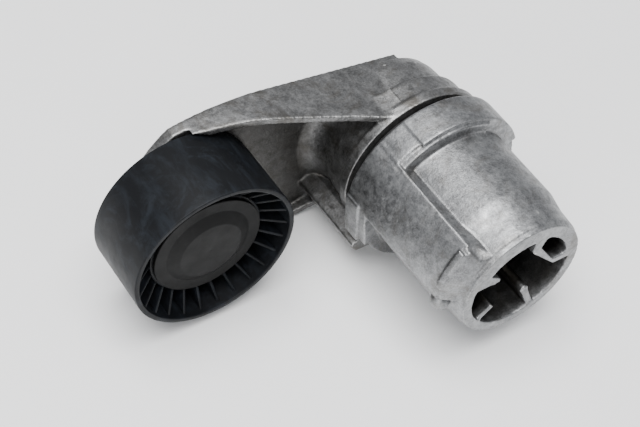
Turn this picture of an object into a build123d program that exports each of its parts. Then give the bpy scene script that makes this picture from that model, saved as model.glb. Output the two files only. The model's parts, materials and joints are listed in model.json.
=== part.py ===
"""Spring-loaded belt tensioner with a smooth idler pulley.

The pivot axis is Y, with the origin where it meets the housing's end face.  +Y runs from that
face towards the arm, the pulley lies along -X and +Z is up.  All sizes are in millimetres.
"""
import os
from math import cos, radians, sin

from build123d import *

# ---- places along the pivot axis ----------------------------------------------------------
LAND_LENGTH = 2.2            # turned land behind the housing's end face
POCKET_DEPTH = 24.0          # cored pockets in the end face
FLOOR_BACK = 28.0            # far side of the floor between the pockets and the spring
TIER_START = 50.7            # lower tier in front of the collar
BAND_START = 52.2            # raised band on the collar
COLLAR_START = 54.0
LUG_START = 58.5             # stop lug on the collar
RAIL_START = 59.5            # stop rail of the arm
COLLAR_END = 66.9
RING_START = 70.9            # front of the arm's ring, across the gap from the collar
RING_STEP = 75.4
BARREL_STEP = 85.0
WEB_FRONT = 99.6
ARM_BACK = 104.6

PAD_START = 9.0

# ---- angles about the pivot axis, counted from +X towards +Z -------------------------------
PAD_TOP = 132.3              # pad's upper edge at the collar
PAD_END_TOP = 136.5          # the same edge at the end face
PAD_LOW = 178.0
PAD_MIDDLE = 155.0
BAR_TOP = 139.8              # ends of the raised bar across the pad
BAR_LOW = 169.0
FLANK_FOOT = 129.6           # where the upper flank meets the round body

# ---- radii about the pivot axis -----------------------------------------------------------
END_R = 27.7
BODY_R = 30.7
POCKET_R = 23.4              # cored pockets in the end face
COLLAR_R = 36.75
PAD_R = 36.95                # top of the long pad where it meets the collar
PAD_END_R = 34.9             # top of the pad at the end face
PAD_FOOT_R = 30.2            # where the pad's flanks sink into the round body
RIB_R = 24.5                 # how far the ribs between the pockets reach into the wall
COUNTERBORE_R = 33.2         # seat of the dust ring
CHAMBER_R = 27.2             # spring chamber, in the housing and in the arm
RING_R = 34.5
BARREL_R = 30.6
SHAFT_R = 8.0
BOLT_HOLE_R = 5.25           # clearance for an M10 fixing bolt through the hollow shaft
TUBE_BORE_R = 10.0
TUBE_R = 13.0
RUNNING = 0.05               # radial clearance of a running fit
GAP = 0.35                   # clearance between bodies that only pass each other
ARM_WALL = 3.0               # thickness of the arm's side walls

# ---- pulley and its 17 x 40 x 12 ball bearing ---------------------------------------------
PULLEY_X = -97.65
PULLEY_FRONT = 65.3
PULLEY_BACK = 98.2
PULLEY_R = 35.0
RIM_WALL = 2.1
WHEEL_WEB = 86.0             # front of the web between the rim and the hub
PULLEY_HUB_R = 24.4
FIN_COUNT = 26
BEARING_FRONT = 77.6
BEARING_BACK = 89.6
BEARING_MIDDLE = (BEARING_FRONT + BEARING_BACK) / 2
BEARING_BORE_R = 8.5
BEARING_R = 20.0
BALL_R = 3.375
RACE_R = BALL_R + RUNNING
INNER_RACE_R = 12.2          # outside of the inner ring
OUTER_RACE_R = 16.4          # inside of the outer ring
BALL_COUNT = 8
PITCH_R = 14.25
PULLEY_BOLT_R = 5.0

# ---- spring -------------------------------------------------------------------------------
WIRE_R = 2.3
COIL_R = 21.0
COIL_PITCH = 6.6
COIL_START = 33.6
COIL_END = 91.0

PULLEY_AXIS = Axis((PULLEY_X, 0, 0), (0, 1, 0))


# ---- helpers ------------------------------------------------------------------------------
def at_y(y):
    """Plane across the pivot axis; its sketches are in X and Z and extrude towards the front."""
    return Plane.XZ.offset(-y)


def section(*corners, centre=0.0):
    """Half-section of (radius, y) corners, to be turned about the Y axis at x = centre."""
    with BuildSketch(Plane.XY) as profile:
        with BuildLine():
            Polyline(*[(centre + radius, y) for radius, y in corners], close=True)
        make_face()
    return profile.sketch


def tube(inner, outer, front, back, centre=0.0):
    """Half-section of a plain tube or washer."""
    return section((inner, front), (outer, front), (outer, back), (inner, back), centre=centre)


def polar(radius, angle):
    """Point in X and Z at an angle in degrees, counted from +X towards +Z."""
    return radius * cos(radians(angle)), radius * sin(radians(angle))


def sector(inner, outer, start, end, front, back):
    """Ring sector between two angles, as a solid from front to back along Y."""
    middle = (start + end) / 2
    with BuildPart(mode=Mode.PRIVATE) as piece:
        with BuildSketch(at_y(back)):
            with BuildLine():
                ThreePointArc(polar(outer, start), polar(outer, middle), polar(outer, end))
                Line(polar(outer, end), polar(inner, end))
                ThreePointArc(polar(inner, end), polar(inner, middle), polar(inner, start))
                Line(polar(inner, start), polar(outer, start))
            make_face()
        extrude(amount=back - front)
    return piece.part


def bar(start, end, width, front, back):
    """Straight wall between two points in X and Z, from front to back along Y."""
    with BuildPart(mode=Mode.PRIVATE) as piece:
        with BuildSketch(at_y(back)):
            with BuildLine():
                spine = Line(start, end)
            trace(spine, line_width=width)
        extrude(amount=back - front)
    return piece.part


def save(part, name):
    """Label a finished piece and write it as parts/name.step."""
    part.label = name
    export_step(part, f"parts/{name}.step")


os.makedirs("parts", exist_ok=True)

# ---- spring housing: the fixed casting ----------------------------------------------------
with BuildPart() as pad:
    # long raised pad: its lower flank runs out into the round body in a hollow curve
    with BuildSketch(at_y(COLLAR_END)):
        with BuildLine():
            ThreePointArc(
                polar(PAD_R, PAD_END_TOP), polar(PAD_R, PAD_MIDDLE), polar(PAD_R, PAD_LOW)
            )
            ThreePointArc(polar(PAD_R, PAD_LOW), polar(32.8, 183), polar(PAD_FOOT_R, 194))
            Line(polar(PAD_FOOT_R, 194), polar(CHAMBER_R, 190))
            ThreePointArc(
                polar(CHAMBER_R, 190), polar(CHAMBER_R, PAD_MIDDLE), polar(CHAMBER_R, FLANK_FOOT)
            )
            Polyline(
                polar(CHAMBER_R, FLANK_FOOT), polar(PAD_FOOT_R, FLANK_FOOT),
                polar(PAD_R, PAD_END_TOP),
            )
        make_face()
    extrude(amount=COLLAR_END - PAD_START)
    # its upper flank is a wedge that widens towards the end face
    for y, edge_r, edge in (
        (COLLAR_END, PAD_R, PAD_TOP), (PAD_START, PAD_R, PAD_END_TOP),
    ):
        with BuildSketch(at_y(y)):
            Polygon(
                polar(edge_r, edge), polar(PAD_FOOT_R, FLANK_FOOT), polar(CHAMBER_R, FLANK_FOOT),
                polar(CHAMBER_R, PAD_MIDDLE), polar(edge_r - 1, PAD_END_TOP + 4), align=None,
            )
    loft(ruled=True)
    # its top falls towards the end face
    revolve(section(
        (PAD_END_R, PAD_START), (PAD_R + 3, PAD_START), (PAD_R + 3, COLLAR_START),
        (PAD_R, COLLAR_START),
    ), axis=Axis.Y, mode=Mode.SUBTRACT)

with BuildSketch(at_y(POCKET_DEPTH + 1)) as corner_block:
    # corner of the end face that stays solid round a deep pocket
    with BuildLine():
        Polyline(polar(RIB_R, 84), (2.1, 14.2), (15.3, 0.8), polar(RIB_R, 2))
        ThreePointArc(polar(RIB_R, 2), polar(RIB_R, 43), polar(RIB_R, 84))
    make_face()

with BuildSketch(at_y(POCKET_DEPTH)) as corner_pocket:
    with BuildLine():
        Polyline(polar(21.8, 69), (6.0, 15.4), (14.6, 3.8), polar(21.8, 10))
        ThreePointArc(polar(21.8, 10), polar(21.8, 40), polar(21.8, 69))
    make_face()
    fillet(corner_pocket.vertices(), 1.6)

with BuildPart() as spring_housing:
    revolve(section(
        (0, 0), (END_R, 0), (END_R, LAND_LENGTH), (28.4, LAND_LENGTH + 0.2), (29.0, 11.0),
        (BODY_R, 19.0), (BODY_R + 0.3, COLLAR_START), (COLLAR_R, COLLAR_START),
        (COLLAR_R, COLLAR_END), (0, COLLAR_END),
    ), axis=Axis.Y)
    # lower tier of the collar and the raised band on it
    add(sector(28.0, 35.8, 62, PAD_TOP + 4, TIER_START, COLLAR_START + 1))
    add(sector(30.0, COLLAR_R + 0.55, 20, 115, BAND_START, COLLAR_END - 0.4))
    add(pad.part)
    # higher bar and sloping end of the pad, and the sprue left beside it
    pad_end = section((26, LAND_LENGTH), (28.9, LAND_LENGTH), (34.9, 6.6), (34.9, 12.0), (26, 12.0))
    revolve(pad_end.rotate(Axis.Y, -PAD_END_TOP), axis=Axis.Y, revolution_arc=PAD_END_TOP - PAD_LOW)
    pad_bar = section((30, 6.4), (36.4, 7.0), (36.6, 9.6), (34.8, 10.4), (30, 10.4))
    revolve(pad_bar.rotate(Axis.Y, -BAR_TOP), axis=Axis.Y, revolution_arc=BAR_TOP - BAR_LOW)
    for corners_r, back in (((28.9, 28.6), LAND_LENGTH), ((34.9, PAD_FOOT_R), PAD_START)):
        with BuildSketch(at_y(back)):
            Polygon(
                polar(corners_r[0], PAD_END_TOP), polar(corners_r[1], FLANK_FOOT),
                polar(26, FLANK_FOOT), polar(26, PAD_END_TOP), align=None,
            )
    loft(ruled=True)
    with Locations((-31.6, 9.4, -3.4)):
        Sphere(4.0)
    # stop lug: a flat-sided tier that leaves the collar at a tangent, with a lower tier under it
    with BuildSketch(at_y(COLLAR_END)):
        Polygon(
            (-37.9, 3.5), (-37.1, -6.0), (-36.2, -13.0), (-35.8, -18.1), (-33.4, -20.2),
            (-27.0, -16.0), (-27.0, 3.5), align=None,
        )
    extrude(amount=COLLAR_END - LUG_START)
    with BuildSketch(at_y(COLLAR_END)):
        Polygon(
            (-36.7, 2.0), (-36.2, -6.0), (-35.1, -13.0), (-34.6, -17.2), (-27.0, -17.2),
            (-27.0, 2.0), align=None,
        )
    extrude(amount=COLLAR_END - COLLAR_START)
    # spring chamber and the counterbore for the dust ring
    revolve(tube(0, CHAMBER_R, FLOOR_BACK, COLLAR_END + 1), axis=Axis.Y, mode=Mode.SUBTRACT)
    revolve(
        tube(0, COUNTERBORE_R, COLLAR_START + 2, COLLAR_END + 1), axis=Axis.Y,
        mode=Mode.SUBTRACT,
    )
    # cored pockets in the end face
    revolve(tube(0, POCKET_R, -1, POCKET_DEPTH), axis=Axis.Y, mode=Mode.SUBTRACT)
    revolve(tube(0, 12.5, POCKET_DEPTH - 8, 40.0), axis=Axis.Y)
    # ribs and thicker walls left standing between the pockets
    add(sector(20.2, RIB_R, 82, 150, 0, POCKET_DEPTH + 1))
    extrude(corner_block.sketch, amount=POCKET_DEPTH + 1)
    extrude(corner_pocket.sketch, amount=POCKET_DEPTH + 1, mode=Mode.SUBTRACT)
    with BuildSketch(at_y(POCKET_DEPTH + 1)):
        Polygon(
            (-19.5, 13.2), (-17.2, 11.2), (-12.0, 7.7), (-12.0, 6.0), (-14.2, 5.3),
            (-18.0, 5.9), (-24.0, 5.4), align=None,
        )
    extrude(amount=POCKET_DEPTH + 1)
    add(bar((4.8, -10.4), polar(RIB_R, 295), 3.1, 0.6, POCKET_DEPTH + 1))
    with BuildSketch(at_y(POCKET_DEPTH + 1)):
        with Locations((4.8, -10.4)):
            Circle(1.9)
    extrude(amount=POCKET_DEPTH + 1 - 0.6)
    add(bar((-10.9, -11.0), polar(RIB_R, 224), 2.2, 0.8, POCKET_DEPTH + 1))
    # seat of the hollow shaft
    revolve(tube(0, SHAFT_R, -1, 41.0), axis=Axis.Y, mode=Mode.SUBTRACT)

save(spring_housing.part, "spring_housing")

# ---- hollow pivot shaft, pressed into the housing -----------------------------------------
with BuildPart() as pivot_shaft:
    revolve(section(
        (BOLT_HOLE_R, 13.5), (9.2, 13.5), (9.2, 16.0), (SHAFT_R, 16.0), (SHAFT_R, 107.0),
        (7.4, 107.6), (BOLT_HOLE_R, 107.6),
    ), axis=Axis.Y)

save(pivot_shaft.part, "pivot_shaft")

# ---- washer swaged on the shaft's far end, which holds the arm on -------------------------
with BuildPart() as shaft_retainer:
    revolve(section(
        (SHAFT_R, 106.4), (16.5, 106.4), (16.5, 107.4), (12.0, 108.2), (SHAFT_R, 108.2),
    ), axis=Axis.Y)

save(shaft_retainer.part, "shaft_retainer")

with BuildPart() as thrust_washer:
    revolve(tube(SHAFT_R + RUNNING, 15.5, ARM_BACK + 0.1, 106.4), axis=Axis.Y)

save(thrust_washer.part, "thrust_washer")

# ---- dust ring that closes the gap between the housing and the arm ------------------------
with BuildPart() as gap_ring:
    revolve(section(
        (29.6, 57.0), (COUNTERBORE_R, 57.0), (COUNTERBORE_R, 60.0), (31.2, 60.8),
        (31.2, RING_START - GAP), (29.6, RING_START - GAP),
    ), axis=Axis.Y)

save(gap_ring.part, "gap_ring")

# ---- spring seat on the chamber floor, and the torsion spring -----------------------------
with BuildPart() as spring_seat:
    revolve(tube(TUBE_R + 1.0, 26.8, FLOOR_BACK, 31.0), axis=Axis.Y)

save(spring_seat.part, "spring_seat")

with BuildPart() as torsion_spring:
    with BuildLine():
        coil = Helix(
            pitch=COIL_PITCH, height=COIL_END - COIL_START, radius=COIL_R,
            center=(0, COIL_START, 0), direction=(0, 1, 0),
        )
    with BuildSketch(Plane(origin=coil @ 0, z_dir=coil % 0)):
        Circle(WIRE_R)
    sweep(path=coil, is_frenet=True)

save(torsion_spring.part, "torsion_spring")

# ---- friction sleeve: pressed into the arm, rubs on the housing's wall and damps it --------
with BuildPart() as friction_sleeve:
    revolve(section(
        (24.2, 46.0), (CHAMBER_R - GAP, 46.0), (CHAMBER_R - GAP, RING_START - GAP),
        (CHAMBER_R, RING_START + 0.2), (CHAMBER_R, 82.0), (24.2, 82.0),
    ), axis=Axis.Y)

save(friction_sleeve.part, "friction_sleeve")

# ---- tensioner arm: the moving casting ----------------------------------------------------
with BuildSketch(at_y(ARM_BACK)) as arm_outline:
    # crowned top edge, rounded end behind the pulley, fuller lower edge
    with BuildLine():
        top = Line((8, 27.6), (-56, 36.4))
        crown = TangentArc(top @ 1, (-98, 34.6), tangent=top % 1)
        end = ThreePointArc(crown @ 1, (-116, 0), (-98, -35.4))
        belly = ThreePointArc(end @ 1, (-72, -39.4), (-44, -39.0))
        Polyline(belly @ 1, (10, -26), (8, 27.6))
    make_face()

with BuildSketch(Plane.XY) as flare:
    # half-section of the barrel inside the arm's channel, which flares into the web
    with BuildLine():
        Polyline((28, WEB_FRONT + 1), (28, 71.4), (RING_R, 71.4), (33.6, 76.0), (32.2, 88.0))
        ThreePointArc((32.2, 88.0), (34.4, 96.4), (40.5, WEB_FRONT + 0.2))
        Polyline((40.5, WEB_FRONT + 0.2), (40.5, WEB_FRONT + 1), (28, WEB_FRONT + 1))
    make_face()

with BuildPart() as tensioner_arm:
    with BuildSketch(at_y(ARM_BACK)):
        add(arm_outline.sketch_local)
        offset(amount=-ARM_WALL, mode=Mode.SUBTRACT)
    extrude(amount=ARM_BACK - RING_START - 1.4)
    # hollow curve between the ring and the top wall
    with BuildSketch(at_y(BARREL_STEP)):
        with BuildLine():
            ThreePointArc((-27.0, 32.3), (-17.0, 31.2), (-8.4, 33.4))
            Polyline((-8.4, 33.4), (-16.0, 26.0), (-27.0, 32.3))
        make_face()
    extrude(amount=BARREL_STEP - RING_START - 1.4)
    # the wall's front edge runs from the ring back to the plane behind the pulley
    with BuildSketch(Plane.XY):
        Polygon(
            (-130, 60), (-130, WEB_FRONT), (-101, WEB_FRONT), (-85.5, 94.5), (-67.7, 90.3),
            (-48.9, 84.4), (-29.7, 78.0), (-16.0, 72.3), (30, 72.3), (30, 60), align=None,
        )
    extrude(amount=60, mode=Mode.SUBTRACT)
    with BuildSketch(Plane.XY):
        Polygon(
            (-130, 60), (-130, WEB_FRONT), (-84, WEB_FRONT), (-74, 96.4), (-38, 95.0),
            (30, 88.0), (30, 60), align=None,
        )
    extrude(amount=-60, mode=Mode.SUBTRACT)
    extrude(arm_outline.sketch, amount=ARM_BACK - WEB_FRONT)
    # ring, stepped barrel and closed end
    revolve(section(
        (0, RING_START), (RING_R, RING_START), (RING_R + 0.2, RING_STEP), (33.0, RING_STEP + 1),
        (32.8, BARREL_STEP), (BARREL_R + 0.2, BARREL_STEP + 0.8), (BARREL_R - 0.4, 97.0),
        (29.0, 101.4), (26.6, 103.8), (24.0, ARM_BACK), (0, ARM_BACK),
    ), axis=Axis.Y)
    # inside the channel the barrel has no steps
    revolve(flare.sketch.rotate(Axis.Y, -134), axis=Axis.Y, revolution_arc=-100)
    # stop rail, which comes to rest under the housing's lug
    with BuildSketch(at_y(WEB_FRONT + 1)):
        Polygon(
            (-36.2, -22.4), (-35.6, -24.8), (-33.6, -27.4), (-20, -27.4), (-20, -18.0),
            (-30.2, -18.5), align=None,
        )
    extrude(amount=WEB_FRONT + 1 - RAIL_START)
    revolve(
        tube(0, COLLAR_R + GAP + 0.1, 50.0, RING_START), axis=Axis.Y, mode=Mode.SUBTRACT
    )
    # room for the pulley, and the boss its bearing is bolted to
    revolve(
        tube(0, PULLEY_R + 1.0, 50.0, WEB_FRONT, PULLEY_X), axis=PULLEY_AXIS, mode=Mode.SUBTRACT
    )
    revolve(section(
        (0, BEARING_BACK + 1.0), (11.0, BEARING_BACK + 1.0), (13.5, WEB_FRONT + 1),
        (13.5, ARM_BACK + 2.4), (0, ARM_BACK + 2.4), centre=PULLEY_X,
    ), axis=PULLEY_AXIS)
    revolve(
        tube(0, PULLEY_BOLT_R, 50.0, ARM_BACK + 5, PULLEY_X), axis=PULLEY_AXIS,
        mode=Mode.SUBTRACT,
    )
    # spring chamber round the pivot tube, and the bore for the bushes
    revolve(tube(0, CHAMBER_R, RING_START - 1, 98.4), axis=Axis.Y, mode=Mode.SUBTRACT)
    revolve(tube(0, TUBE_R, 43.0, 99.0), axis=Axis.Y)
    revolve(tube(0, TUBE_BORE_R, 40.0, ARM_BACK + 5), axis=Axis.Y, mode=Mode.SUBTRACT)

save(tensioner_arm.part, "tensioner_arm")

for name, front, back in (("front_pivot_bush", 43.0, 68.0), ("rear_pivot_bush", 80.0, ARM_BACK)):
    with BuildPart() as bush:
        revolve(tube(SHAFT_R + RUNNING, TUBE_BORE_R, front, back), axis=Axis.Y)
    save(bush.part, name)

# ---- pulley bolt, its washer and the spacer inside the bearing ----------------------------
with BuildPart() as pulley_bolt:
    revolve(section(
        (0, 71.2), (6.4, 71.2), (7.6, 72.0), (7.6, 74.9), (9.6, 75.3), (9.6, 76.0),
        (PULLEY_BOLT_R, 76.0), (PULLEY_BOLT_R, 108.2), (4.3, 109.0), (0, 109.0),
        centre=PULLEY_X,
    ), axis=PULLEY_AXIS)
    with BuildSketch(at_y(74.9)):
        with Locations((PULLEY_X, 0)):
            Circle(12)
            RegularPolygon(6.6, 6, major_radius=False, mode=Mode.SUBTRACT)
    extrude(amount=6, mode=Mode.SUBTRACT)

save(pulley_bolt.part, "pulley_bolt")

with BuildPart() as bolt_washer:
    revolve(tube(PULLEY_BOLT_R, 10.6, 76.0, BEARING_FRONT, PULLEY_X), axis=PULLEY_AXIS)

save(bolt_washer.part, "bolt_washer")

with BuildPart() as bearing_spacer:
    revolve(
        tube(PULLEY_BOLT_R, BEARING_BORE_R, BEARING_FRONT, BEARING_BACK, PULLEY_X),
        axis=PULLEY_AXIS,
    )

save(bearing_spacer.part, "bearing_spacer")

with BuildPart() as rear_dust_shield:
    revolve(section(
        (PULLEY_BOLT_R, BEARING_BACK), (11.0, BEARING_BACK), (12.0, BEARING_BACK + 0.5),
        (18.6, BEARING_BACK + 0.9), (18.6, BEARING_BACK + 1.7), (11.0, BEARING_BACK + 1.0),
        (PULLEY_BOLT_R, BEARING_BACK + 1.0), centre=PULLEY_X,
    ), axis=PULLEY_AXIS)

save(rear_dust_shield.part, "rear_dust_shield")

# ---- ball bearing -------------------------------------------------------------------------
with BuildPart() as bearing_inner_ring:
    revolve(
        tube(BEARING_BORE_R, INNER_RACE_R, BEARING_FRONT, BEARING_BACK, PULLEY_X),
        axis=PULLEY_AXIS,
    )
    with BuildSketch(Plane.XY):
        with Locations((PULLEY_X + PITCH_R, BEARING_MIDDLE)):
            Circle(RACE_R)
    revolve(axis=PULLEY_AXIS, mode=Mode.SUBTRACT)

save(bearing_inner_ring.part, "bearing_inner_ring")

with BuildPart() as bearing_outer_ring:
    revolve(
        tube(OUTER_RACE_R, BEARING_R, BEARING_FRONT, BEARING_BACK, PULLEY_X),
        axis=PULLEY_AXIS,
    )
    with BuildSketch(Plane.XY):
        with Locations((PULLEY_X + PITCH_R, BEARING_MIDDLE)):
            Circle(RACE_R)
    revolve(axis=PULLEY_AXIS, mode=Mode.SUBTRACT)

save(bearing_outer_ring.part, "bearing_outer_ring")

for name, front in (("front_seal", BEARING_FRONT + 0.3), ("rear_seal", BEARING_BACK - 1.3)):
    with BuildPart() as seal:
        revolve(
            tube(INNER_RACE_R + RUNNING, OUTER_RACE_R, front, front + 1.0, PULLEY_X),
            axis=PULLEY_AXIS,
        )
    save(seal.part, name)

with BuildPart() as bearing_balls:
    with Locations(Plane(origin=(PULLEY_X, BEARING_MIDDLE, 0), z_dir=(0, 1, 0))):
        with PolarLocations(PITCH_R, BALL_COUNT):
            Sphere(BALL_R)

save(bearing_balls.part, "bearing_balls")

with BuildPart() as ball_cage:
    revolve(
        tube(13.3, 15.2, BEARING_MIDDLE - 4.0, BEARING_MIDDLE + 4.0, PULLEY_X), axis=PULLEY_AXIS
    )
    with Locations(Plane(origin=(PULLEY_X, BEARING_MIDDLE, 0), z_dir=(0, 1, 0))):
        with PolarLocations(PITCH_R, BALL_COUNT):
            Cylinder(BALL_R + 0.1, 6, rotation=(0, 90, 0), mode=Mode.SUBTRACT)

save(ball_cage.part, "ball_cage")

# ---- pulley: moulded wheel with a deep cavity, radial fins and a hub round the bearing ----
with BuildPart() as pulley_wheel:
    revolve(section(
        (PULLEY_R - RIM_WALL + 0.4, PULLEY_FRONT), (PULLEY_R - 0.4, PULLEY_FRONT),
        (PULLEY_R, PULLEY_FRONT + 0.4), (PULLEY_R, PULLEY_BACK - 0.4),
        (PULLEY_R - 0.4, PULLEY_BACK), (PULLEY_R - 2.6, PULLEY_BACK),
        (PULLEY_R - 3.4, WHEEL_WEB + 3.2), (PULLEY_HUB_R, WHEEL_WEB + 3.2),
        (PULLEY_HUB_R - 0.4, 93.0), (19.2, 93.0), (19.2, BEARING_BACK), (BEARING_R, BEARING_BACK),
        (BEARING_R, 73.3), (PULLEY_HUB_R - 0.8, 73.3), (PULLEY_HUB_R, 74.0),
        (PULLEY_HUB_R + 0.3, WHEEL_WEB), (PULLEY_R - RIM_WALL - 0.6, WHEEL_WEB),
        (PULLEY_R - RIM_WALL, PULLEY_FRONT + 0.4), centre=PULLEY_X,
    ), axis=PULLEY_AXIS)
    # fins: each one slopes from the rim's lip down to the hub
    with BuildPart(mode=Mode.PRIVATE) as fin:
        with BuildSketch(Plane.XY):
            Polygon(
                (PULLEY_X + 24.2, 73.4), (PULLEY_X + 33.1, 67.2), (PULLEY_X + 33.1, 87),
                (PULLEY_X + 24.2, 87), align=None,
            )
        extrude(amount=0.55, both=True)
    for index in range(FIN_COUNT):
        add(fin.part.rotate(PULLEY_AXIS, index * 360 / FIN_COUNT))

save(pulley_wheel.part, "pulley_wheel")

with BuildPart() as pulley_dust_cap:
    revolve(section(
        (0, 69.3), (13.2, 69.3), (14.2, 69.5), (17.9, 71.5), (18.8, 71.7), (22.9, 71.7),
        (23.3, 72.1), (23.3, 73.3), (19.9, 73.3), (19.7, 76.4), (18.6, 76.4), (18.4, 73.0),
        (17.6, 72.9), (13.8, 70.7), (0, 70.6), centre=PULLEY_X,
    ), axis=PULLEY_AXIS)

save(pulley_dust_cap.part, "pulley_dust_cap")
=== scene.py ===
import json
import math

import bmesh
import bpy
from mathutils import Matrix, Vector


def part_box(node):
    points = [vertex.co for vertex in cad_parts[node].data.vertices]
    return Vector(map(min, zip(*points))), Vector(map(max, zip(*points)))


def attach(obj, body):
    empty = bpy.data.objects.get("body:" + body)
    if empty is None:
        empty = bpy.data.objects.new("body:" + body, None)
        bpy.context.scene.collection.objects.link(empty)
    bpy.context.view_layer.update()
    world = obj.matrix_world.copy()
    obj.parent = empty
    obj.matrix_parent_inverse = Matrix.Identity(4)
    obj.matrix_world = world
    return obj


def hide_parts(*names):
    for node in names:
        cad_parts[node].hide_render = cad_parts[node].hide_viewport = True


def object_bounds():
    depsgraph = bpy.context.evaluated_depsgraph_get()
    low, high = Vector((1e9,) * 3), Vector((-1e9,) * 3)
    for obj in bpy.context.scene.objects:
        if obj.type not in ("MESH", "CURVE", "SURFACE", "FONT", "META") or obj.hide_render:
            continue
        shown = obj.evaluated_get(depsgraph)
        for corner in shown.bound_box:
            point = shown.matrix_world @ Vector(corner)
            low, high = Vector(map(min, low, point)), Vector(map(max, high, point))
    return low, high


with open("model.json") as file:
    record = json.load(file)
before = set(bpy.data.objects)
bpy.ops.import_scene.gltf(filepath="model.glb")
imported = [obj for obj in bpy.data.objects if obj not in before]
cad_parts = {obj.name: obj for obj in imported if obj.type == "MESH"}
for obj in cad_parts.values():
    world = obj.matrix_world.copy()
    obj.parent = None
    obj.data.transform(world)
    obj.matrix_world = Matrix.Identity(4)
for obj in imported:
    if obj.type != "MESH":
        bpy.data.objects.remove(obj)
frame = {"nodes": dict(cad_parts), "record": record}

cad_box = [list(corner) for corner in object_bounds()]
MM = 0.001


# ---- places, read from the frame ----------------------------------------------------------
def middle(low, high):
    return (Vector(low) + Vector(high)) / 2


wheel_low, wheel_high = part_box("pulley_wheel")
PULLEY_X = middle(wheel_low, wheel_high).x
PULLEY_R = (wheel_high.z - wheel_low.z) / 2
PULLEY_FRONT, PULLEY_BACK = wheel_low.y, wheel_high.y
FIN_COUNT = 26
cap_low, cap_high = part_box("pulley_dust_cap")
CAP_FRONT = cap_low.y
CAP_R = (cap_high.z - cap_low.z) / 2

# the castings are remeshed finely, smoothed, then thinned to under 200,000 triangles each
VOXEL_MM = 0.5
SMOOTH_ROUNDS = 6
HOUSING_KEEP = 0.54
ARM_KEEP = 0.47

# fins of the wheel, from its axis
FIN_INNER_R = 24.2 * MM
FIN_OUTER_R = 33.1 * MM
FIN_THICKNESS = 1.1 * MM

# places in mm of the end face's pockets, where painted shade darkens the casting
POCKET_WALL_MM = (23.0, 24.2)
POCKET_MOUTH_MM = (0.8, 5.0)

FLOOR_HALF = 2.5
X, Y, Z = 0, 1, 2


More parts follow.
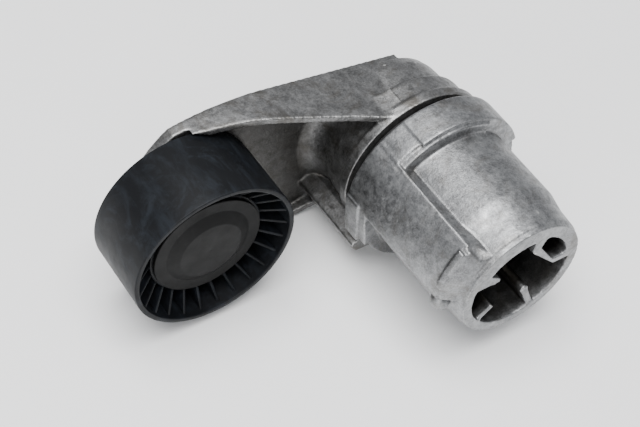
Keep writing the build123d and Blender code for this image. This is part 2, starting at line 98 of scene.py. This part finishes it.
# ---- shader helpers -----------------------------------------------------------------------
class Shader:
    """A material being built: short calls that add nodes and link them."""

    def __init__(self, name):
        self.material = bpy.data.materials.new(name)
        self.material.use_nodes = True
        self.tree = self.material.node_tree
        self.tree.nodes.clear()
        self.surface = self.tree.nodes.new("ShaderNodeBsdfPrincipled")
        output = self.tree.nodes.new("ShaderNodeOutputMaterial")
        self.tree.links.new(self.surface.outputs[0], output.inputs[0])
        self.position = self.tree.nodes.new("ShaderNodeTexCoord").outputs["Object"]

    def link(self, source, target):
        self.tree.links.new(source, target)

    def noise(self, size_mm, detail=4.0, roughness=0.55, distortion=0.0, stretch=(1, 1, 1)):
        """Noise whose largest features are about size_mm across."""
        place = self.tree.nodes.new("ShaderNodeMapping")
        place.inputs["Scale"].default_value = [1000 / size_mm * s for s in stretch]
        self.link(self.position, place.inputs["Vector"])
        texture = self.tree.nodes.new("ShaderNodeTexNoise")
        texture.inputs["Scale"].default_value = 1.0
        texture.inputs["Detail"].default_value = detail
        texture.inputs["Roughness"].default_value = roughness
        texture.inputs["Distortion"].default_value = distortion
        self.link(place.outputs[0], texture.inputs["Vector"])
        return texture.outputs["Fac"]

    def along(self, axis, start_mm, end_mm):
        """0 to 1 between two places along one axis, in mm."""
        split = self.tree.nodes.new("ShaderNodeSeparateXYZ")
        self.link(self.position, split.inputs[0])
        return self.between(split.outputs[axis], start_mm, end_mm)

    def from_pivot(self, start_mm, end_mm):
        """0 to 1 between two distances from the pivot axis, in mm."""
        flat = self.tree.nodes.new("ShaderNodeVectorMath")
        flat.operation = "MULTIPLY"
        flat.inputs[1].default_value = (1, 0, 1)
        self.link(self.position, flat.inputs[0])
        size = self.tree.nodes.new("ShaderNodeVectorMath")
        size.operation = "LENGTH"
        self.link(flat.outputs[0], size.inputs[0])
        return self.between(size.outputs["Value"], start_mm, end_mm)

    def between(self, source, start_mm, end_mm):
        """0 to 1 as a length in metres passes from one place to another, given in mm."""
        node = self.tree.nodes.new("ShaderNodeMapRange")
        node.inputs["From Min"].default_value = start_mm * MM
        node.inputs["From Max"].default_value = end_mm * MM
        self.link(source, node.inputs["Value"])
        return node.outputs["Result"]

    def ramp(self, source, *stops):
        """Colour ramp from (place, grey or colour) stops."""
        node = self.tree.nodes.new("ShaderNodeValToRGB")
        elements = node.color_ramp.elements
        while len(elements) < len(stops):
            elements.new(1.0)
        for element, (place, value) in zip(elements, stops):
            element.position = place
            colour = (value,) * 3 if isinstance(value, (int, float)) else tuple(value)
            element.color = (*colour, 1.0)
        self.link(source, node.inputs[0])
        return node.outputs[0]

    def mix(self, factor, a, b, blend="MIX"):
        """Mix two colours or sources; a number for factor is constant."""
        node = self.tree.nodes.new("ShaderNodeMix")
        node.data_type = "RGBA"
        node.blend_type = blend
        for value, socket in ((factor, node.inputs[0]), (a, node.inputs[6]), (b, node.inputs[7])):
            if isinstance(value, bpy.types.NodeSocket):
                self.link(value, socket)
            elif isinstance(value, (int, float)) and socket == node.inputs[0]:
                socket.default_value = value
            else:
                colour = (value,) * 3 if isinstance(value, (int, float)) else tuple(value)
                socket.default_value = (*colour, 1.0)
        return node.outputs[2]

    def math(self, operation, a, b):
        """One math node on two numbers or sources."""
        node = self.tree.nodes.new("ShaderNodeMath")
        node.operation = operation
        for value, socket in zip((a, b), node.inputs):
            if isinstance(value, bpy.types.NodeSocket):
                self.link(value, socket)
            else:
                socket.default_value = value
        return node.outputs[0]

    def edges(self, low, high):
        """0 to 1 on convex edges of a dense mesh."""
        geometry = self.tree.nodes.new("ShaderNodeNewGeometry")
        return self.ramp(geometry.outputs["Pointiness"], (low, 0.0), (high, 1.0))

    def corners(self, low, high):
        """1 to 0 from the sharpest inside corners of a dense mesh out to its flats."""
        geometry = self.tree.nodes.new("ShaderNodeNewGeometry")
        return self.ramp(geometry.outputs["Pointiness"], (low, 1.0), (high, 0.0))

    def bump(self, *layers):
        """Stack of (height source, depth in mm) layers, the first one lowest."""
        normal = None
        for height, depth_mm in layers:
            node = self.tree.nodes.new("ShaderNodeBump")
            node.inputs["Strength"].default_value = 1.0
            node.inputs["Distance"].default_value = depth_mm * MM
            self.link(height, node.inputs["Height"])
            if normal is not None:
                self.link(normal, node.inputs["Normal"])
            normal = node.outputs[0]
        self.link(normal, self.surface.inputs["Normal"])

    def set(self, **values):
        """Constants or sources for the shader's own sockets, by name with _ for a space."""
        for name, value in values.items():
            socket = self.surface.inputs[name.replace("_", " ")]
            if isinstance(value, bpy.types.NodeSocket):
                self.link(value, socket)
            elif socket.type == "RGBA" and not isinstance(value, (int, float)):
                socket.default_value = (*value, 1.0)
            else:
                socket.default_value = value


# ---- materials ----------------------------------------------------------------------------
def cast_aluminium(name, light, dark, stain_and_shade_tint, stain_amount, painted_shade):
    """Die-cast aluminium: blotchy skin, brown-grey stains, fine grain and worn edges, with painted
    shade in corners and hollows and a painted highlight on the edges.

    The last argument, called with the shader, gives 0 to 1 where painted shade darkens the
    casting.
    """
    shader = Shader(name)
    blotches = shader.ramp(shader.noise(9, 6, 0.62, 0.6), (0.38, 0.0), (0.62, 1.0))
    patches = shader.ramp(shader.noise(2.2, 4, 0.7), (0.38, 0.0), (0.62, 1.0))
    speckle = shader.ramp(shader.noise(0.7, 3, 0.75), (0.40, 0.0), (0.62, 1.0))
    tone = shader.math("ADD", shader.math("MULTIPLY", blotches, 0.36),
                       shader.math("MULTIPLY", patches, 0.30))
    tone = shader.math("ADD", tone, shader.math("MULTIPLY", speckle, 0.34))
    skin = shader.mix(tone, dark, light)
    stains = shader.ramp(shader.noise(15, 7, 0.68, 1.2), (0.50, 0.0), (0.66, stain_amount))
    skin = shader.mix(stains, skin, stain_and_shade_tint)
    # painted shade in the inside corners, with some soot
    skin = shader.mix(shader.corners(0.43, 0.49), skin, [c * 0.35 for c in stain_and_shade_tint])
    # painted shade where the pockets and the arm's channel lie in shadow
    skin = shader.mix(painted_shade(shader), skin, [c * 0.3 for c in stain_and_shade_tint])
    # outside edges painted bright: worn metal, partly a painted highlight
    rubbed_and_glinting = shader.ramp(shader.noise(5, 4, 0.6), (0.42, 0.15), (0.6, 1.0))
    worn_and_glinting = shader.math("MULTIPLY", shader.edges(0.53, 0.60), rubbed_and_glinting)
    shader.set(
        Base_Color=shader.mix(worn_and_glinting, skin, (0.66, 0.66, 0.64)),
        Metallic=0.95,
        Roughness=shader.ramp(shader.noise(3, 5, 0.65), (0.32, 0.32), (0.68, 0.54)),
    )
    shader.bump(
        (shader.noise(5.0, 3, 0.5), 0.14),
        (shader.noise(1.3, 4, 0.65), 0.10),
        (shader.noise(0.5, 3, 0.7), 0.035),
    )
    return shader.material


def moulded_plastic(name, colour, scuff, scuff_amount, roughness, grain):
    """Filled black plastic with pale scuffs and a fine moulded grain."""
    shader = Shader(name)
    scuffs = shader.ramp(shader.noise(16, 8, 0.74, 1.6), (0.50, 0.0), (0.74, scuff_amount))
    streaks = shader.ramp(
        shader.noise(6, 6, 0.7, 0.4, stretch=(1, 0.25, 1)), (0.5, 0.0), (0.8, scuff_amount)
    )
    marks = shader.math("MAXIMUM", scuffs, streaks)
    shader.set(
        Base_Color=shader.mix(marks, colour, scuff),
        Roughness=shader.ramp(shader.noise(7, 5, 0.6), (0.3, roughness), (0.7, roughness + 0.14)),
        Specular_IOR_Level=0.16,
    )
    shader.bump((shader.noise(0.35, 3, 0.6), grain), (shader.noise(4.0, 3, 0.5), grain * 1.5))
    return shader.material


def steel(name, colour, roughness, grain=0.01):
    """Plated or ground steel with faint cloudy marks."""
    shader = Shader(name)
    clouds = shader.ramp(shader.noise(4, 5, 0.6), (0.3, 0.0), (0.75, 1.0))
    shader.set(
        Base_Color=shader.mix(clouds, colour, [c * 0.72 for c in colour]),
        Metallic=1.0,
        Roughness=shader.ramp(
            shader.noise(2, 4, 0.6), (0.3, roughness), (0.7, roughness + 0.12)
        ),
    )
    shader.bump((shader.noise(0.4, 3, 0.6), grain))
    return shader.material


def soft_polymer(name, colour, roughness):
    """Unfilled polymer or rubber with a slight mottle."""
    shader = Shader(name)
    mottle = shader.ramp(shader.noise(3, 4, 0.6), (0.3, 0.0), (0.7, 1.0))
    shader.set(
        Base_Color=shader.mix(mottle, colour, [c * 1.5 for c in colour]),
        Roughness=roughness,
    )
    shader.bump((shader.noise(0.5, 3, 0.6), 0.015))
    return shader.material


def pocket_painted_shade(shader):
    """Painted shade inside the cored pockets of the end face."""
    inside = shader.math("SUBTRACT", 1.0, shader.from_pivot(*POCKET_WALL_MM))
    return shader.math("MULTIPLY", inside, shader.along(Y, *POCKET_MOUTH_MM))


def channel_painted_shade(shader):
    """Painted shade on the web and barrel inside the arm's channel."""
    deep = shader.math("MULTIPLY", shader.along(Y, 86, 100), shader.along(X, -31, -36))
    under_top = shader.math("SUBTRACT", 1.0, shader.along(Z, 29, 32))
    front = shader.math("SUBTRACT", 1.0, shader.along(Y, 100.5, 102))
    return shader.math(
        "MULTIPLY", shader.math("MULTIPLY", deep, under_top), shader.math("MULTIPLY", front, 0.7)
    )


CAST_HOUSING = cast_aluminium(
    "cast_housing", (0.40, 0.405, 0.41), (0.13, 0.132, 0.135), (0.12, 0.11, 0.095), 0.5,
    pocket_painted_shade,
)
CAST_ARM = cast_aluminium(
    "cast_arm", (0.32, 0.32, 0.32), (0.10, 0.10, 0.098), (0.10, 0.09, 0.075), 0.65, channel_painted_shade
)
MATERIALS = {
    "wheel_plastic": moulded_plastic(
        "wheel_plastic", (0.004, 0.0045, 0.0055), (0.03, 0.038, 0.05), 0.4, 0.40, 0.01
    ),
    "cap_plastic": moulded_plastic(
        "cap_plastic", (0.006, 0.006, 0.006), (0.02, 0.02, 0.02), 0.3, 0.5, 0.02
    ),
    "polymer": soft_polymer("polymer", (0.004, 0.004, 0.004), 0.7),
    "bush_polymer": soft_polymer("bush_polymer", (0.30, 0.25, 0.16), 0.5),
    "plated_steel": steel("plated_steel", (0.62, 0.61, 0.57), 0.3),
    "bearing_steel": steel("bearing_steel", (0.66, 0.66, 0.66), 0.16, 0.004),
    "spring_steel": steel("spring_steel", (0.18, 0.18, 0.19), 0.4),
    "seal_rubber": soft_polymer("seal_rubber", (0.012, 0.012, 0.012), 0.7),
}


# ---- mesh helpers -------------------------------------------------------------------------
def add_object(name, mesh):
    obj = bpy.data.objects.new(name, mesh)
    bpy.context.scene.collection.objects.link(obj)
    return obj


def apply_modifiers(obj):
    """Turn an object's modifiers into its mesh."""
    graph = bpy.context.evaluated_depsgraph_get()
    mesh = bpy.data.meshes.new_from_object(obj.evaluated_get(graph), depsgraph=graph)
    obj.modifiers.clear()
    obj.data = mesh


def softened_casting(name, node, keep, material):
    """The CAD casting with every sharp edge and inside corner softened, as a die leaves it."""
    obj = add_object(name, frame["nodes"][node].data.copy())
    remesh = obj.modifiers.new("even", "REMESH")
    remesh.mode = "VOXEL"
    remesh.voxel_size = VOXEL_MM * MM
    soften = obj.modifiers.new("soften", "SMOOTH")
    soften.factor = 0.5
    soften.iterations = SMOOTH_ROUNDS
    thin_out = obj.modifiers.new("thin_out", "DECIMATE")
    thin_out.ratio = keep
    apply_modifiers(obj)
    finish_piece(obj, material)
    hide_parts(node)
    return obj


def finish_piece(obj, material):
    obj.data.materials.clear()
    obj.data.materials.append(material)
    for polygon in obj.data.polygons:
        polygon.use_smooth = True


def rounded(corners, radius, steps=4):
    """Corner list with each corner cut back and rounded by a short curve."""
    points = []
    count = len(corners)
    for index, corner in enumerate(corners):
        here = Vector(corner)
        before = Vector(corners[index - 1]) - here
        after = Vector(corners[(index + 1) % count]) - here
        reach = min(radius, before.length * 0.45, after.length * 0.45)
        start = here + before.normalized() * reach
        stop = here + after.normalized() * reach
        for step in range(steps + 1):
            t = step / steps
            points.append(start * (1 - t) ** 2 + here * 2 * t * (1 - t) + stop * t ** 2)
    return points


def turned(name, corners, centre_x, material, radius=0.4 * MM, segments=180):
    """Solid of revolution about the Y axis at centre_x from a closed (radius, y) profile."""
    profile = rounded(corners, radius)
    mesh = bpy.data.meshes.new(name)
    shape = bmesh.new()
    rings = []
    for index in range(segments):
        angle = index * math.tau / segments
        rings.append([
            shape.verts.new((
                centre_x + point.x * math.cos(angle), point.y, point.x * math.sin(angle)
            ))
            for point in profile
        ])
    count = len(profile)
    for index in range(segments):
        ring, following = rings[index], rings[(index + 1) % segments]
        for k in range(count):
            nxt = (k + 1) % count
            shape.faces.new((ring[k], ring[nxt], following[nxt], following[k]))
    bmesh.ops.remove_doubles(shape, verts=shape.verts, dist=1e-7)
    bmesh.ops.dissolve_degenerate(shape, edges=shape.edges, dist=1e-7)
    bmesh.ops.recalc_face_normals(shape, faces=shape.faces)
    shape.to_mesh(mesh)
    shape.free()
    obj = add_object(name, mesh)
    finish_piece(obj, material)
    return obj


# ---- pieces -------------------------------------------------------------------------------
def fin_mesh(shape, angle, centre_x, corners, thickness):
    """One radial plate with a rounded front edge, added to shape at an angle about Y."""
    half = thickness / 2
    sides = []
    for offset, inset in ((-half, 0.35), (-half * 0.4, 0.0), (half * 0.4, 0.0), (half, 0.35)):
        ring = []
        for radius, y, is_front in corners:
            deep = y + (inset * MM if is_front else 0.0)
            ring.append(shape.verts.new((
                centre_x + radius * math.cos(angle) - offset * math.sin(angle),
                deep,
                radius * math.sin(angle) + offset * math.cos(angle),
            )))
        sides.append(ring)
    for left, right in zip(sides, sides[1:]):
        for k in range(len(corners)):
            nxt = (k + 1) % len(corners)
            shape.faces.new((left[k], left[nxt], right[nxt], right[k]))
    shape.faces.new(sides[0][::-1])
    shape.faces.new(sides[-1])


def make_wheel():
    """Moulded wheel: rim, web and hub turned as one, with a ring of fins in the front cavity."""
    front, back = PULLEY_FRONT, PULLEY_BACK
    rim, hub, bore = PULLEY_R, PULLEY_R - 10.6 * MM, PULLEY_R - 15.0 * MM
    web = front + 20.7 * MM
    wall = rim - 2.1 * MM
    body = turned("wheel_body", [
        (wall, front), (rim, front), (rim, back), (rim - 2.6 * MM, back),
        (rim - 3.4 * MM, web + 3.2 * MM), (hub, web + 3.2 * MM), (hub - 0.4 * MM, back - 5.2 * MM),
        (bore - 0.8 * MM, back - 5.2 * MM), (bore - 0.8 * MM, back - 8.6 * MM),
        (bore, back - 8.6 * MM), (bore, front + 8.0 * MM), (hub, front + 8.0 * MM),
        (hub + 0.3 * MM, web), (wall - 0.6 * MM, web),
    ], PULLEY_X, MATERIALS["wheel_plastic"], radius=0.55 * MM, segments=240)
    shape = bmesh.new()
    corners = (
        (FIN_INNER_R, front + 8.1 * MM, True), (FIN_OUTER_R, front + 1.9 * MM, True),
        (FIN_OUTER_R, web + 0.5 * MM, False), (FIN_INNER_R, web + 0.5 * MM, False),
    )
    for index in range(FIN_COUNT):
        fin_mesh(shape, index * math.tau / FIN_COUNT, PULLEY_X, corners, FIN_THICKNESS)
    bmesh.ops.recalc_face_normals(shape, faces=shape.faces)
    mesh = bpy.data.meshes.new("wheel_fins")
    shape.to_mesh(mesh)
    shape.free()
    fins = add_object("wheel_fins", mesh)
    mesh.materials.append(MATERIALS["wheel_plastic"])
    for piece in (body, fins):
        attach(piece, "pulley")
        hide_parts("pulley_wheel")


def make_cap():
    """Dust cap: a flat ring round a raised plug, with a snap skirt behind."""
    y = CAP_FRONT
    cap = turned("dust_cap", [
        (0.001 * MM, y), (13.4 * MM, y), (18.1 * MM, y + 2.4 * MM), (CAP_R, y + 2.4 * MM),
        (CAP_R, y + 4.0 * MM), (19.9 * MM, y + 4.0 * MM), (19.7 * MM, y + 7.1 * MM),
        (18.6 * MM, y + 7.1 * MM), (18.4 * MM, y + 3.7 * MM), (17.4 * MM, y + 3.7 * MM),
        (13.0 * MM, y + 1.4 * MM), (0.001 * MM, y + 1.4 * MM),
    ], PULLEY_X, MATERIALS["cap_plastic"], radius=0.35 * MM, segments=180)
    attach(cap, "pulley")
    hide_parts("pulley_dust_cap")


def make_castings():
    housing = softened_casting("housing_casting", "spring_housing", HOUSING_KEEP, CAST_HOUSING)
    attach(housing, "base")
    arm = softened_casting("arm_casting", "tensioner_arm", ARM_KEEP, CAST_ARM)
    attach(arm, "arm")


def finish_cad_nodes():
    """Give every CAD node that stays the material of its slot."""
    for part in frame["record"]["subparts"]:
        material = MATERIALS.get(part["material_slot"])
        if material is None:
            continue
        mesh = frame["nodes"][part["node"]].data
        mesh.materials.clear()
        mesh.materials.append(material)


# ---- stage --------------------------------------------------------------------------------
CAMERA_PLACE = Vector((-0.294632, -0.231263, 0.438468))
CAMERA_AZIMUTH = math.radians(-39.46)
CAMERA_ELEVATION = math.radians(48.80)
CAMERA_ROLL = math.radians(8.54)


def make_camera():
    camera = bpy.data.cameras.new("camera")
    camera.sensor_width = 36
    camera.lens = 83.37
    camera.clip_start = 0.01
    obj = bpy.data.objects.new("camera", camera)
    bpy.context.scene.collection.objects.link(obj)
    back = Vector((
        math.sin(CAMERA_AZIMUTH) * math.cos(CAMERA_ELEVATION),
        -math.cos(CAMERA_AZIMUTH) * math.cos(CAMERA_ELEVATION),
        math.sin(CAMERA_ELEVATION),
    ))
    level = Vector((math.cos(CAMERA_AZIMUTH), math.sin(CAMERA_AZIMUTH), 0))
    right = level * math.cos(CAMERA_ROLL) + back.cross(level) * math.sin(CAMERA_ROLL)
    up = back.cross(right)
    obj.matrix_world = Matrix((
        (right.x, up.x, back.x, CAMERA_PLACE.x),
        (right.y, up.y, back.y, CAMERA_PLACE.y),
        (right.z, up.z, back.z, CAMERA_PLACE.z),
        (0, 0, 0, 1),
    ))
    bpy.context.scene.camera = obj


def make_light(name, place, target, size, power):
    light = bpy.data.lights.new(name, "AREA")
    light.shape = "RECTANGLE"
    light.size, light.size_y = size
    light.energy = power
    obj = bpy.data.objects.new(name, light)
    bpy.context.scene.collection.objects.link(obj)
    obj.location = place
    obj.rotation_euler = (Vector(target) - Vector(place)).to_track_quat("-Z", "Y").to_euler()


def make_stage():
    low, high = (Vector(corner) for corner in cad_box)
    centre = middle(low, high)
    mesh = bpy.data.meshes.new("floor")
    mesh.from_pydata(
        [(centre.x + a * FLOOR_HALF, centre.y + b * FLOOR_HALF, low.z)
         for a, b in ((-1, -1), (1, -1), (1, 1), (-1, 1))],
        [], [(0, 1, 2, 3)],
    )
    floor = add_object("floor", mesh)
    paper = Shader("floor_paper")
    paper.set(
        Base_Color=paper.ramp(paper.noise(60, 3), (0.3, 0.92), (0.7, 0.94)),
        Roughness=0.6,
    )
    paper.bump((paper.noise(1.0, 3), 0.01))
    mesh.materials.append(paper.material)

    world = bpy.data.worlds.new("room")
    world.use_nodes = True
    world.node_tree.nodes["Background"].inputs[0].default_value = (0.90, 0.92, 0.96, 1)
    world.node_tree.nodes["Background"].inputs[1].default_value = 0.52
    bpy.context.scene.world = world
    make_light("window", (-1.3, -1.0, 0.65), centre, (1.2, 0.9), 11)
    make_light("ceiling", (-0.3, -0.05, 1.5), centre, (1.3, 1.3), 50)


make_camera()
make_castings()
make_wheel()
make_cap()
finish_cad_nodes()
make_stage()
